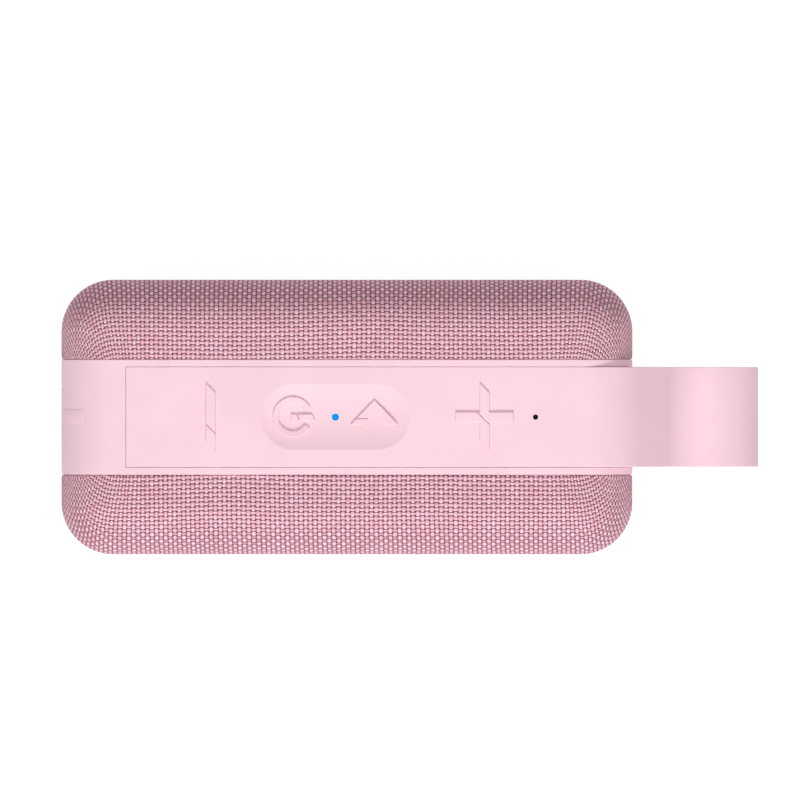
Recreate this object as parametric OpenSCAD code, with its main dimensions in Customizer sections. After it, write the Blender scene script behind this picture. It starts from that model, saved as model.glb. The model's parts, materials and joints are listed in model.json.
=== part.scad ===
/* [Body] */
// Width of the body without its strap loop
body_w = 110; // [108:1:116]
// Depth of the body from front to back
body_d = 53; // [52:0.5:58]
// Height of the body above its foot pad
body_h = 58; // [58:0.5:62]
// Radius of every outer edge
edge_r = 10; // [9.5:0.1:10.5]
// Thickness of the fabric skins
fabric_t = 0.8; // [0.6:0.1:1]
// Wall of the two grille covers
cover_t = 2; // [1.6:0.1:2.2]

/* [Belt] */
// Width of the plain belt between the two fabrics
belt_w = 22.2; // [22:0.1:23]
// Thickness of the belt's wall
belt_t = 4.5; // [4.5:0.1:4.8]
// Depth of each sealing flange, measured in from the outside
flange_t = 7.5; // [7.4:0.1:8]
// Width of each sealing flange
flange_w = 3; // [2.8:0.1:3.1]

/* [Strap] */
// Width of the control strip and of the loop
strap_w = 19.3; // [18.8:0.1:19.4]
// Thickness of the strap
strap_t = 2; // [1.9:0.05:2.1]
// Seam between the strip and the belt
seam = 0.15; // [0.1:0.05:0.2]
// Left end of the control strip, measured from the centre
strip_start = -42.5; // [-43:0.5:-41]
// How far the loop stands out from the body
loop_reach = 24.5; // [24:0.5:26]
// Steepness of the loop where it leaves the body, in degrees
loop_slope = 57; // [56:1:58]
// Outer radius of the bend over the shoulder
shoulder_bend_r = 12; // [12:0.1:12.2]
// Radius of the hollow bend
hollow_bend_r = 8.3; // [8:0.1:8.6]
// Outer radius of the loop's round end
end_bend_r = 10.6; // [10.4:0.1:10.8]
// Height of the foot pad under the base
foot_h = 0.6; // [0.5:0.1:0.8]

/* [Keys] */
// Travel of each key
key_travel = 0.35; // [0.25:0.05:0.4]
// Gap round each key
key_gap = 0.2; // [0.15:0.05:0.25]
// Height of the raised symbols
symbol_h = 0.35; // [0.25:0.05:0.45]
// Depth of the pill shaped hollow
pill_d = 0.8; // [0.6:0.1:0.9]
// Centre of the minus key
minus_x = -26.2; // [-27:0.1:-26]
// Centre of the power key
power_x = -10.4; // [-10.5:0.1:-10.3]
// Centre of the status lamp
lamp_x = -2.2; // [-2.4:0.1:-2]
// Centre of the play key
play_x = 5.3; // [5.2:0.1:5.4]
// Centre of the plus key
plus_x = 26.5; // [26:0.1:27]
// Centre of the microphone hole
mic_x = 36.3; // [36:0.1:36.6]

/* [Driver and radiator] */
// Centre of the driver, to the right of the body's centre
driver_x = 22; // [21.5:0.1:22.5]
// Outer radius of the driver's flange
driver_r = 21.5; // [21:0.1:21.7]
// Length of the passive radiator's frame
radiator_l = 60; // [58:1:62]
// Height of the passive radiator's frame
radiator_h = 38; // [37:0.5:39]

/* [Port] */
// Width of the port cover
port_cover_w = 11.6; // [11.4:0.1:12]
// Height of the cover's hinge above the belt's lowest line
port_hinge_h = 27; // [26:0.5:28]
// Height of the socket above the belt's lowest line
port_h = 39; // [38:0.5:40]

/* [Hidden] */

$fn = 48;
hull_fn = 32;
corner_steps = 8;
eps = 0.01;

mid_z = foot_h + body_h / 2;
top_z = foot_h + body_h;
side_x = body_w / 2;
belt_y = belt_w / 2;
floor_z = top_z - strap_t;
wall_z = top_z - belt_t;

skin_gap = 0.02;
baffle_t = 2.5;
baffle_y = belt_y + baffle_t;
baffle_inset = fabric_t + cover_t + 0.4;
gasket_inset = 4.4;
gasket_w = 1.2;
gasket_d = 0.8;

board_t = 1;
switch_h = 1.3;
board_z = wall_z - 2.2;
plunger_r = 0.8;
plunger_z = wall_z - 0.4;
stem_r = 1.5;
pocket_d = key_travel + 0.25;
lamp_r = 0.7;
mic_r = 0.5;
boot_r = 1.6;
membrane_t = 0.2;

screw_r = 0.8;
pilot_r = 0.85;
head_r = 1.8;
head_h = 1.2;
boss_r = 3.6;
boss_x = side_x - flange_t;
boss_z = body_h / 2 - flange_t;

coil_r = 6.7;

port_z = foot_h + port_h;
hinge_z = foot_h + port_hinge_h;
port_cover_t = 1.4;
port_recess_t = 1.6;
hinge_x = port_cover_t / 2 - side_x;
port_edge_angle = 75;
tab_w = 2.8;
tab_h = 0.3;
tab_gap = 0.06;
tab_angle = 34;
usb_w = 8.94;
usb_h = 3.26;
usb_l = 7.3;
usb_wall = 0.3;
usb_mouth_x = 1.4 + port_recess_t - side_x;
port_board_z = port_z - usb_h / 2 - board_t;
port_board_end = -36;

// ---------- outlines ----------

function arc(c, r, a0, a1, n) =
    [for (i = [0:n]) let (a = a0 + (a1 - a0) * i / n) c + r * [cos(a), sin(a)]];

function rounded(w, h, r, n = corner_steps) = concat(
    arc([w / 2 - r, h / 2 - r], r, 0, 90, n),
    arc([r - w / 2, h / 2 - r], r, 90, 180, n),
    arc([r - w / 2, r - h / 2], r, 180, 270, n),
    arc([w / 2 - r, r - h / 2], r, 270, 360, n));

function stadium(l, w, n = 12) = concat(
    arc([(l - w) / 2, 0], w / 2, -90, 90, n),
    arc([(w - l) / 2, 0], w / 2, 90, 270, n));

function octagon(apothem) =
    [for (i = [0:7]) apothem / cos(22.5) * [cos(45 * i + 22.5), sin(45 * i + 22.5)]];

// The body's outline in the XZ plane, moved in by inset
module body_outline(inset = 0)
    translate([0, mid_z])
        polygon(rounded(body_w - 2 * inset, body_h - 2 * inset, edge_r - inset));

module body_ring(inset, width) difference() {
    body_outline(inset);
    body_outline(inset + width);
}

// An XZ outline made solid between two values of Y
module between_y(y0, y1)
    translate([0, y1, 0]) rotate([90, 0, 0]) linear_extrude(y1 - y0) children();

module across(width) between_y(-width / 2, width / 2) children();

// An XY outline made solid between two heights
module between_z(z0, z1) translate([0, 0, z0]) linear_extrude(z1 - z0) children();

module both_sides() {
    children();
    mirror([0, 1, 0]) children();
}

module top_and_bottom() {
    children();
    translate([0, 0, 2 * mid_z]) mirror([0, 0, 1]) children();
}

module four_corners(x, z)
    for (sx = [-1, 1], sz = [-1, 1]) translate([sx * x, 0, mid_z + sz * z]) children();

module rod_y(r, y0, y1) translate([0, y1, 0]) rotate([90, 0, 0]) cylinder(h = y1 - y0, r = r);

module rod_z(r, z0, z1) translate([0, 0, z0]) cylinder(h = z1 - z0, r = r);

module block(x0, x1, y0, y1, z0, z1)
    translate([x0, y0, z0]) cube([x1 - x0, y1 - y0, z1 - z0]);

// A thin tube swept along points, eight sided
function unit(v) = v / norm(v);
function heading(p, i) = unit(p[min(i + 1, len(p) - 1)] - p[max(i - 1, 0)]);
module tube(points, r, sides = 8) {
    rings = [for (i = [0:len(points) - 1])
        let (t = heading(points, i), a = unit(cross(t, [0.31, 0.62, 0.72])), b = cross(t, a))
            [for (k = [0:sides - 1]) let (turn = 360 * k / sides)
                points[i] + r * (cos(turn) * a + sin(turn) * b)]];
    last = (len(points) - 1) * sides;
    polyhedron(
        [for (ring = rings) each ring],
        concat(
            [[for (k = [0:sides - 1]) k]],
            [for (i = [0:len(points) - 2], k = [0:sides - 1])
                let (a = i * sides + k, b = i * sides + (k + 1) % sides)
                    each [[a, a + sides, b + sides], [a, b + sides, b]]],
            [[for (k = [sides - 1:-1:0]) last + k]]));
}

// Two wires side by side, the second one moved by a shift that changes from end to end
module lead_pair(points, r, first_shift, last_shift) {
    tube(points, r);
    n = len(points) - 1;
    tube([for (i = [0:n]) points[i] + first_shift * (n - i) / n + last_shift * i / n], r);
}

// ---------- the strap's path ----------

upper_drop = body_h / 2;
bend_drop = (shoulder_bend_r + hollow_bend_r) * (1 - cos(loop_slope)) + end_bend_r;
straight = (upper_drop - bend_drop) / sin(loop_slope);
end_centre_x = side_x + loop_reach - end_bend_r;
shoulder_x = end_centre_x - hollow_bend_r * sin(loop_slope)
    - straight * cos(loop_slope) - shoulder_bend_r * sin(loop_slope);
rise = 90 - loop_slope;
shoulder_c = [shoulder_x, top_z - shoulder_bend_r];
hollow_c = [end_centre_x, mid_z + end_bend_r + hollow_bend_r];
end_c = [end_centre_x, mid_z];

// The upper half of the path, moved in from the outer face by d
function upper_path(d) = concat(
    arc(shoulder_c, shoulder_bend_r - d, 90, rise, 10),
    arc(hollow_c, hollow_bend_r + d, 180 + rise, 270, 8),
    [for (p = arc(end_c, end_bend_r - d, 90, 0, 12)) if (p[0] > end_centre_x + eps) p]);

function flipped(points) =
    [for (i = [len(points) - 1:-1:0]) [points[i][0], 2 * mid_z - points[i][1]]];

function whole_path(d) =
    let (upper = upper_path(d), lower = flipped(upper))
        concat(upper, [for (i = [1:len(lower) - 1]) lower[i]]);

function reversed(points) = [for (i = [len(points) - 1:-1:0]) points[i]];

module strap_profile() polygon(concat(
    [[strip_start, top_z]], whole_path(0), [[strip_start, foot_h]],
    [[strip_start, foot_h + strap_t]], reversed(whole_path(strap_t)), [[strip_start, floor_z]]));

// What the strap's bed takes out of the belt's upper half
module strap_bed() polygon(concat(
    [[strip_start - seam, top_z + 5], [strip_start - seam, floor_z]],
    arc(shoulder_c, shoulder_bend_r - strap_t, 90, rise, 10),
    [hollow_c + (hollow_bend_r + strap_t) * [cos(180 + rise), sin(180 + rise)]],
    [[side_x + 20, top_z + 5]]));

// ---------- keys ----------

module minus_plate(grow = 0) translate([minus_x, 0])
    polygon(rounded(6.4 + 2 * grow, 15.6 + 2 * grow, 2 + grow));

module plus_plate(grow = 0) translate([plus_x, 0])
    polygon(rounded(14 + 2 * grow, 15.6 + 2 * grow, 2 + grow));

module power_plate(grow = 0) translate([power_x, 0]) polygon(octagon(5 + grow));

module play_plate(grow = 0) translate([play_x, 0]) polygon(octagon(5 + grow));

module key_plates(grow = 0) {
    minus_plate(grow);
    plus_plate(grow);
    power_plate(grow);
    play_plate(grow);
}

module at_keys() for (x = [minus_x, power_x, play_x, plus_x]) translate([x, 0, 0]) children();

pill_l = 28.7;
pill_w = 12.6;
module pill() translate([lamp_x, 0]) polygon(stadium(pill_l, pill_w));

bar_w = 1.8;
bar_l = 12.9;
module slant_bar() polygon([
    [-bar_w / 2, bar_l / 2], [bar_w / 2, bar_l / 2 - bar_w],
    [bar_w / 2, -bar_l / 2], [-bar_w / 2, bar_w - bar_l / 2]]);

module minus_symbol() translate([minus_x, 0]) slant_bar();

module plus_symbol() translate([plus_x, 0]) {
    slant_bar();
    square([11.1, bar_w], center = true);
}

module power_symbol() translate([power_x, 0]) {
    difference() {
        circle(3.8);
        circle(2.7);
        polygon([[0, 0], [6, -3.9], [6, 3.9]]);
    }
    translate([-0.4, -0.62]) square([4.6, 1.24]);
}

module play_symbol() translate([play_x, 0])
    polygon([[0, 3.3], [4.4, -1.3], [2.2, -1.3], [0, 1], [-2.2, -1.3], [-4.4, -1.3]]);

// One key: a plate, its raised symbol and the stem that meets the switch
module key(x, plate_z) {
    between_z(floor_z, plate_z) children(0);
    between_z(plate_z - eps, plate_z + symbol_h) children(1);
    translate([x, 0, 0]) rod_z(stem_r, plunger_z, floor_z + eps);
}

module minus_key() color([0.98, 0.85, 0.89]) key(minus_x, top_z) {
    minus_plate();
    minus_symbol();
}

module plus_key() color([0.98, 0.85, 0.89]) key(plus_x, top_z) {
    plus_plate();
    plus_symbol();
}

module power_key() color([0.96, 0.81, 0.86]) key(power_x, top_z - pill_d) {
    power_plate();
    power_symbol();
}

module play_key() color([0.96, 0.81, 0.86]) key(play_x, top_z - pill_d) {
    play_plate();
    play_symbol();
}

module plunger(x) color([0.15, 0.15, 0.16])
    translate([x, 0, 0]) rod_z(plunger_r, board_z + switch_h - 0.4, plunger_z);

module minus_plunger() plunger(minus_x);
module power_plunger() plunger(power_x);
module play_plunger() plunger(play_x);
module plus_plunger() plunger(plus_x);

// ---------- strap ----------

module control_strap() color([0.98, 0.84, 0.88]) difference() {
    union() {
        across(strap_w) strap_profile();
        between_z(0, foot_h + 0.5) polygon(stadium(78, 17));
    }
    between_z(floor_z - 1, top_z + 1) key_plates(key_gap);
    between_z(top_z - pill_d, top_z + 1) pill();
    translate([lamp_x, 0, 0]) rod_z(lamp_r + 0.05, floor_z - 1, top_z + 1);
    translate([mic_x, 0, 0]) rod_z(mic_r, floor_z - 1, top_z + 1);
    top_and_bottom() at_anchor_screws() rod_z(pilot_r, floor_z - 1, floor_z + 1);
}

anchor_x = 40.5;
anchor_t = 0.8;
module at_anchor_screws() for (y = [-5.5, 5.5]) translate([anchor_x, y, 0]) children();

module strap_anchor_plates() color([0.72, 0.73, 0.75]) top_and_bottom() difference() {
    block(anchor_x - 2.5, anchor_x + 2.5, -7.8, 7.8, wall_z - anchor_t, wall_z);
    at_anchor_screws() rod_z(pilot_r, wall_z - 2, wall_z + 1);
}

module strap_screws() color([0.62, 0.63, 0.65]) top_and_bottom() at_anchor_screws() {
    rod_z(screw_r, wall_z - anchor_t - 0.1, floor_z + 0.9);
    rod_z(head_r, wall_z - anchor_t - 1.1, wall_z - anchor_t);
}

// ---------- belt ----------

module port_region(back, edge) {
    c = [edge_r - side_x, top_z - edge_r];
    polygon([
        c + 20 * [-sin(port_edge_angle + edge), cos(port_edge_angle + edge)], c,
        [c[0], hinge_z - back], [-side_x - 5, hinge_z - back], [-side_x - 5, top_z + 10]]);
}

module port_recess() across(port_cover_w + 0.4) intersection() {
    body_ring(-1, port_recess_t + 1);
    port_region(0.95, -1);
}

module at_switch_board_screws()
    for (x = [minus_x - 7.8, plus_x + 5.3]) translate([x, 0, 0]) children();

module at_port_board_screws() for (y = [-6.5, 6.5]) translate([-41, y, 0]) children();

shelf_t = 1.6;
module port_shelf()
    block(belt_t - side_x - 0.5, port_board_end, -7.9, 7.9, port_board_z - shelf_t, port_board_z);

module belt_frame() color([0.97, 0.83, 0.88]) difference() {
    union() {
        across(belt_w) body_ring(0, belt_t);
        both_sides() between_y(belt_y - flange_w, belt_y) body_ring(baffle_inset, flange_t - baffle_inset);
        four_corners(boss_x, boss_z) rod_y(boss_r, -belt_y, belt_y);
        at_switch_board_screws() rod_z(2, board_z, wall_z + 0.5);
        port_shelf();
        board_brackets();
    }
    top_and_bottom() across(strap_w + 2 * seam) strap_bed();
    port_recess();
    both_sides() between_y(belt_y - gasket_d, belt_y + 1) body_ring(gasket_inset, gasket_w);
    four_corners(boss_x, boss_z) {
        rod_y(pilot_r, belt_y - 7, belt_y + 1);
        rod_y(pilot_r, -belt_y - 1, 7 - belt_y);
    }
    between_z(floor_z - pocket_d, floor_z + 1) key_plates(key_gap);
    at_keys() rod_z(stem_r + 0.3, wall_z - 1, floor_z);
    translate([lamp_x, 0, 0]) rod_z(lamp_r + 0.05, wall_z - 1, top_z);
    translate([mic_x, 0, 0]) rod_z(mic_r, wall_z - 1, top_z);
    top_and_bottom() at_anchor_screws() rod_z(pilot_r, wall_z - 1, top_z);
    translate([0, 0, port_z]) rotate([0, 90, 0]) translate([0, 0, -side_x - 1])
        linear_extrude(12) rotate(90) polygon(stadium(usb_w + 1.6, usb_h + 1.6));
    at_switch_board_screws() rod_z(pilot_r, board_z - 1, wall_z + 0.3);
    at_port_board_screws() rod_z(pilot_r, port_board_z - shelf_t - 1, port_board_z + 1);
    at_main_screws() rod_y(pilot_r, -0.4, main_board_y + 1);
}

// ---------- covers, fabrics, baffles ----------

// The front of the rounded body, moved in by inset, from y_end forwards
module half_pillow(inset, y_end) intersection() {
    hull() four_corners(side_x - edge_r, body_h / 2 - edge_r) {
        translate([0, edge_r - body_d / 2, 0]) rotate([90, 0, 0]) sphere(edge_r - inset, $fn = hull_fn);
        translate([0, y_end, 0]) rotate([90, 0, 0]) cylinder(h = eps, r = edge_r - inset, $fn = hull_fn);
    }
    block(-body_w, body_w, -body_d, y_end, -body_h, 2 * body_h);
}

// A skin of the front of the body, open towards the belt
module front_skin(inset, thickness) difference() {
    half_pillow(inset, -belt_y);
    half_pillow(inset + thickness, 1 - belt_y);
}

grille_pitch = 5.2;
grille_hole_r = 1.7;
module grille_holes(cx, half_l, half_h) {
    rows = floor(half_h / grille_pitch);
    for (j = [-rows:rows]) let (shift = (j % 2 == 0) ? 0 : grille_pitch / 2)
        for (i = [-8:8]) let (x = i * grille_pitch + shift, z = j * grille_pitch)
            if (pow(x / half_l, 2) + pow(z / half_h, 2) <= 1)
                translate([cx + x, 0, mid_z + z])
                    rod_y(grille_hole_r, -body_d / 2, -belt_y - baffle_t - 1);
}

module front_cover() color([0.55, 0.5, 0.52]) difference() {
    front_skin(fabric_t + skin_gap, cover_t);
    grille_holes(driver_x, 17, 17);
}

module rear_cover() color([0.55, 0.5, 0.52]) mirror([0, 1, 0]) difference() {
    front_skin(fabric_t + skin_gap, cover_t);
    grille_holes(0, 27, 17);
}

module front_fabric() color([0.86, 0.6, 0.67]) front_skin(0, fabric_t);

module rear_fabric() color([0.86, 0.6, 0.67]) mirror([0, 1, 0]) front_skin(0, fabric_t);

module baffle() difference() {
    between_y(-baffle_y, -belt_y) body_outline(baffle_inset);
    four_corners(boss_x, boss_z) rod_y(1.1, -baffle_y - 1, -belt_y + 1);
}

module at_driver() translate([driver_x, -baffle_y, mid_z]) rotate([90, 0, 0]) children();

module at_driver_screws() for (a = [45:90:315]) rotate(a) translate([driver_r - 1.7, 0, 0]) children();

basket_r = 17.2;
basket_window_r = 1.6;
module front_baffle() color([0.2, 0.2, 0.21]) difference() {
    baffle();
    at_driver() {
        rod_z(basket_r + 0.2, -baffle_t - 1, 1);
        at_driver_screws() rod_z(pilot_r, -baffle_t - 1, 1);
    }
}

module rear_baffle() color([0.2, 0.2, 0.21]) mirror([0, 1, 0]) difference() {
    baffle();
    between_y(-baffle_y - 1, -belt_y + 1) radiator_outline(-4);
}

module gasket() between_y(-belt_y, gasket_d - belt_y) body_ring(gasket_inset + 0.05, gasket_w - 0.1);

module front_gasket() color([0.12, 0.12, 0.12]) gasket();

module rear_gasket() color([0.12, 0.12, 0.12]) mirror([0, 1, 0]) gasket();

module baffle_screws() color([0.6, 0.6, 0.62]) both_sides() four_corners(boss_x, boss_z) {
    rod_y(screw_r, -baffle_y - 0.1, 6 - belt_y);
    rod_y(head_r, -baffle_y - head_h, -baffle_y);
}

// ---------- switch board ----------

module switch_board() color([0.1, 0.35, 0.25]) difference() {
    block(minus_x - 10, mic_x + 3, -7.5, 7.5, board_z - board_t, board_z);
    at_switch_board_screws() rod_z(screw_r + 0.2, board_z - 2, board_z + 1);
}

module tact_switches() color([0.75, 0.76, 0.78]) at_keys() difference() {
    block(-1.6, 1.6, -1.6, 1.6, board_z, board_z + switch_h);
    rod_z(plunger_r + 0.06, board_z + 0.3, board_z + switch_h + 1);
}

module status_led() color([0.9, 0.95, 1])
    block(lamp_x - 0.8, lamp_x + 0.8, -0.5, 0.5, board_z, board_z + 0.6);

module light_pipe() color([0.1, 0.55, 0.95])
    translate([lamp_x, 0, 0]) rod_z(lamp_r, board_z + 0.6, top_z - pill_d + 0.05);

module microphone() color([0.8, 0.72, 0.5])
    block(mic_x - 1.4, mic_x + 1.4, -1.75, 1.75, board_z, board_z + 1);

module microphone_boot() color([0.1, 0.1, 0.1]) translate([mic_x, 0, 0]) difference() {
    rod_z(boot_r, board_z + 1, wall_z - membrane_t);
    rod_z(mic_r + 0.1, board_z, wall_z);
}

module microphone_membrane() color([0.9, 0.9, 0.9]) translate([mic_x, 0, 0])
    rod_z(boot_r, wall_z - membrane_t, wall_z);

// ---------- port ----------

// A wedge of the XZ plane over the left shoulder, between two angles from the vertical
module shoulder_wedge(first, last)
    translate([edge_r - side_x, top_z - edge_r])
        polygon([[0, 0], 20 * [-sin(last), cos(last)], 20 * [-sin(first), cos(first)]]);

// The pull tab lies over the shoulder, and joins the cover at its upper edge
module pull_tab() {
    across(tab_w) intersection() {
        body_ring(-tab_h, tab_h - tab_gap);
        shoulder_wedge(tab_angle, port_edge_angle + 1.5);
    }
    across(tab_w) intersection() {
        body_ring(-tab_h, tab_h + port_cover_t / 2);
        shoulder_wedge(port_edge_angle + 0.4, port_edge_angle + 1.5);
    }
}

plug_wall = 0.6;
module plug_ring() translate([port_cover_t - side_x, 0, port_z]) rotate([0, 90, 0]) difference() {
    translate([0, 0, -0.5]) linear_extrude(1.9) rotate(90) polygon(stadium(usb_w + 0.9, usb_h + 0.9));
    translate([0, 0, 0.3]) linear_extrude(2) rotate(90)
        polygon(stadium(usb_w + 0.9 - 2 * plug_wall, usb_h + 0.9 - 2 * plug_wall));
}

module port_cover() color([0.97, 0.83, 0.88]) {
    across(port_cover_w) {
        intersection() {
            body_ring(0, port_cover_t);
            port_region(0, 0.4);
        }
        translate([hinge_x, hinge_z]) circle(port_cover_t / 2);
    }
    pull_tab();
    plug_ring();
}

module usb_c_socket() color([0.78, 0.79, 0.8]) translate([usb_mouth_x + 0.1, 0, port_z])
    rotate([0, 90, 0]) rotate(90) {
        difference() {
            linear_extrude(usb_l) polygon(stadium(usb_w, usb_h));
            translate([0, 0, -1]) linear_extrude(usb_l)
                polygon(stadium(usb_w - 2 * usb_wall, usb_h - 2 * usb_wall));
        }
        translate([-3.3, -0.35, 1]) cube([6.6, 0.7, usb_l - 1.5]);
    }

module port_gasket() color([0.12, 0.12, 0.12])
    translate([usb_mouth_x + 0.2, 0, port_z]) rotate([0, 90, 0]) linear_extrude(1.4) rotate(90)
        difference() {
            polygon(stadium(usb_w + 1.5, usb_h + 1.5));
            polygon(stadium(usb_w + 0.05, usb_h + 0.05));
        }

module port_board() color([0.1, 0.35, 0.25]) difference() {
    block(usb_mouth_x + 2, port_board_end, -7.8, 7.8, port_board_z, port_board_z + board_t);
    at_port_board_screws() rod_z(screw_r + 0.2, port_board_z - 1, port_board_z + 2);
}

// ---------- driver, in its own frame: +Z forwards, 0 on the baffle's face ----------

module driver_basket() color([0.25, 0.25, 0.26]) at_driver() difference() {
    rotate_extrude() polygon([
        [15.6, 0.2], [15.6, 1.6], [driver_r, 1.6], [driver_r, 0], [basket_r, 0], [basket_r, -3.5],
        [13.6, -8.2], [13.6, -10.5], [7.4, -10.5], [7.4, -9.3], [12.2, -9.3], [12.2, -7.6], [15.8, -2.8],
        [15.8, 0.2]]);
    at_driver_screws() rod_z(screw_r + 0.2, -1, 3);
    for (a = [0:60:300]) rotate(a) translate([14.8, 0, -5.6]) rotate([0, 90, 0])
        cylinder(h = 6, r = basket_window_r, center = true);
}

module driver_top_plate() color([0.7, 0.71, 0.73]) at_driver() difference() {
    rod_z(13.4, -12, -10.5);
    rod_z(7.3, -13, -10);
}

module driver_magnet() color([0.3, 0.3, 0.31]) at_driver() difference() {
    rod_z(14.5, -17.5, -12);
    rod_z(8, -18, -11);
}

module driver_yoke() color([0.7, 0.71, 0.73]) at_driver() {
    rod_z(13.4, -19.3, -17.5);
    rod_z(6.1, -18, -10.8);
}

module voice_coil() color([0.75, 0.45, 0.25]) at_driver() difference() {
    rod_z(coil_r + 0.2, -13.6, -3.2);
    rod_z(coil_r - 0.2, -14, -3);
}

cone_t = 0.4;
module driver_cone() color([0.1, 0.1, 0.11]) at_driver() rotate_extrude() polygon([
    [coil_r + 0.2, -4.6], [coil_r + 0.2, -4], [11, -1.6], [13.3, 0.4 + cone_t],
    [14, 0.4 + cone_t], [14, 0.4], [13.5, 0.2], [11.2, -2.1], [coil_r + 0.7, -4.6]]);

module dust_cap() color([0.12, 0.12, 0.13]) at_driver() rotate_extrude() polygon(concat(
    [for (i = [0:6]) [coil_r * sin(15 * i), -3.15 + 1.7 * cos(15 * i)]],
    [[coil_r, -3.17], [coil_r, -3.19]],
    [for (i = [5:-1:0]) [(coil_r - 0.4) * sin(15 * i), -3.19 + 1.35 * cos(15 * i)]]));

roll_r = 1.5;
roll_c = [15.6, 1.62];
surround_t = 0.5;
lip_angle = asin(surround_t / (roll_r + surround_t));
module driver_surround() color([0.08, 0.08, 0.08]) at_driver() rotate_extrude() polygon(concat(
    [[12.9, 0.81], [14.1, 0.81]],
    arc(roll_c, roll_r, 180, 0, 8),
    [[18.2, roll_c[1]], [18.2, roll_c[1] + surround_t]],
    arc(roll_c, roll_r + surround_t, lip_angle, 180, 8),
    [[12.9, 0.81 + surround_t]]));

module driver_spider() color([0.85, 0.7, 0.3]) at_driver() difference() {
    union() {
        rod_z(12.1, -9.2, -8.7);
        for (r = [8.8, 10.6]) difference() {
            rod_z(r + 0.4, -9.2, -8.2);
            rod_z(r - 0.4, -10, -8);
        }
    }
    rod_z(coil_r + 0.25, -10, -8);
}

module driver_screws() color([0.6, 0.6, 0.62]) at_driver() at_driver_screws() {
    rod_z(screw_r, -2.3, 1.7);
    rod_z(1.5, 1.6, 2.6);
}

module driver_leads() color([0.75, 0.1, 0.1]) lead_pair([
    [-10, 3.8, mid_z - 12], [-6, 4.6, mid_z - 12.4], [-1, 4.4, mid_z - 12.6],
    [4, 1, mid_z - 12], [8, -2.4, mid_z - 11], [11.4, -3.7, mid_z - 10.6]],
    0.5, [0, 0, -2.4], [0, -1.5, 0]);

// ---------- radiator ----------

radiator_rim = 4;
module radiator_outline(grow = 0) translate([0, mid_z])
    polygon(stadium(radiator_l + 2 * grow, radiator_h + 2 * grow));

module radiator_frame() color([0.2, 0.2, 0.21]) difference() {
    between_y(baffle_y, baffle_y + 1.4) radiator_outline(0);
    between_y(belt_y, baffle_y + 2) radiator_outline(-radiator_rim);
}

plate_grow = -10;
radiator_y = baffle_y + 1.4;
module radiator_plate() color([0.65, 0.66, 0.68]) {
    between_y(radiator_y - 1.4, radiator_y) radiator_outline(plate_grow);
    between_y(radiator_y - 2.4, radiator_y - 1.4 + eps) radiator_outline(plate_grow - 3);
}

module radiator_surround() color([0.08, 0.08, 0.08]) {
    difference() {
        between_y(radiator_y + 0.02, radiator_y + 0.6) radiator_outline(-1);
        between_y(radiator_y - 1, radiator_y + 2) radiator_outline(-4.2);
    }
    difference() {
        between_y(radiator_y + 0.6, radiator_y + 2) radiator_outline(-3.9);
        between_y(radiator_y, radiator_y + 3) radiator_outline(plate_grow + 0.9);
        between_y(radiator_y, radiator_y + 1.4) radiator_outline(-4.5);
    }
    difference() {
        between_y(radiator_y + 1.4, radiator_y + 2) radiator_outline(-4);
        between_y(radiator_y, radiator_y + 3) radiator_outline(plate_grow + 0.9);
    }
    difference() {
        between_y(radiator_y + 0.02, radiator_y + 2) radiator_outline(plate_grow + 1.4);
        between_y(radiator_y, radiator_y + 3) radiator_outline(plate_grow - 0.9);
        between_y(radiator_y + 0.6, radiator_y + 3) radiator_outline(plate_grow + 0.9);
    }
}

// ---------- battery and main board ----------

battery_x = -24.8;
battery_l = 34;
battery_h = 22;
battery_y0 = -9.9;
battery_y1 = -1.6;
tray_wall = 1.2;
tray_low = mid_z - 20;
battery_low = tray_low + tray_wall + 0.1;
main_board_y = 2.2;
main_board_top = mid_z + 5.2;
main_screw_x = [-40, -8.5];
low_screw_z = mid_z - 21.6;
high_screw_z = mid_z + 2.9;

module battery_pack() color([0.25, 0.45, 0.7])
    translate([battery_x, 0, battery_low + battery_h / 2])
        between_y(battery_y0, battery_y1) polygon(rounded(battery_l, battery_h, 2, 4));

module battery_tray() color([0.15, 0.15, 0.16]) translate([battery_x, 0, battery_low + battery_h / 2]) {
    half_l = battery_l / 2 + 0.1;
    half_h = battery_h / 2 + 0.1;
    difference() {
        block(-half_l - tray_wall, half_l + tray_wall, -belt_y, battery_y1 + 1,
            -half_h - tray_wall, half_h + tray_wall);
        block(-half_l, half_l, battery_y0, battery_y1 + 2, -half_h, half_h);
    }
}

module at_main_screws() {
    for (x = main_screw_x) translate([x, 0, low_screw_z]) children();
    translate([main_screw_x[0], 0, high_screw_z]) children();
}

module board_brackets() {
    for (x = main_screw_x)
        block(x - 2.5, x + 2.5, -2, main_board_y, foot_h + belt_t - 0.5, tray_low - 0.4);
    block(main_screw_x[0] - 2.5, main_screw_x[0] + 2.5, 0.2, main_board_y,
        high_screw_z - 2.5, port_board_z - 1);
}

module main_board() color([0.1, 0.35, 0.25]) difference() {
    block(-42.5, -6, main_board_y, main_board_y + board_t, mid_z - 23.3, main_board_top);
    at_main_screws() rod_y(screw_r + 0.2, main_board_y - 1, main_board_y + 2);
}

// A part on the main board: its middle, its size and how far it stands out
module board_part(x, z, l, h, depth)
    translate([x, main_board_y + board_t, mid_z + z]) block(-l / 2, l / 2, 0, depth, -h / 2, h / 2);

module board_parts() color([0.12, 0.12, 0.13]) {
    board_part(-30, -12, 7, 7, 1);
    board_part(-19, -13.5, 5, 5, 1);
    board_part(-33, -1, 6, 6, 2.4);
    board_part(-24, -2, 4, 6, 1.4);
    board_part(-15, -5.6, 5, 9, 2.6);
    board_part(-24, -19.5, 12, 3, 2.6);
    board_part(-35.5, -19, 3, 3, 1);
}

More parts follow.
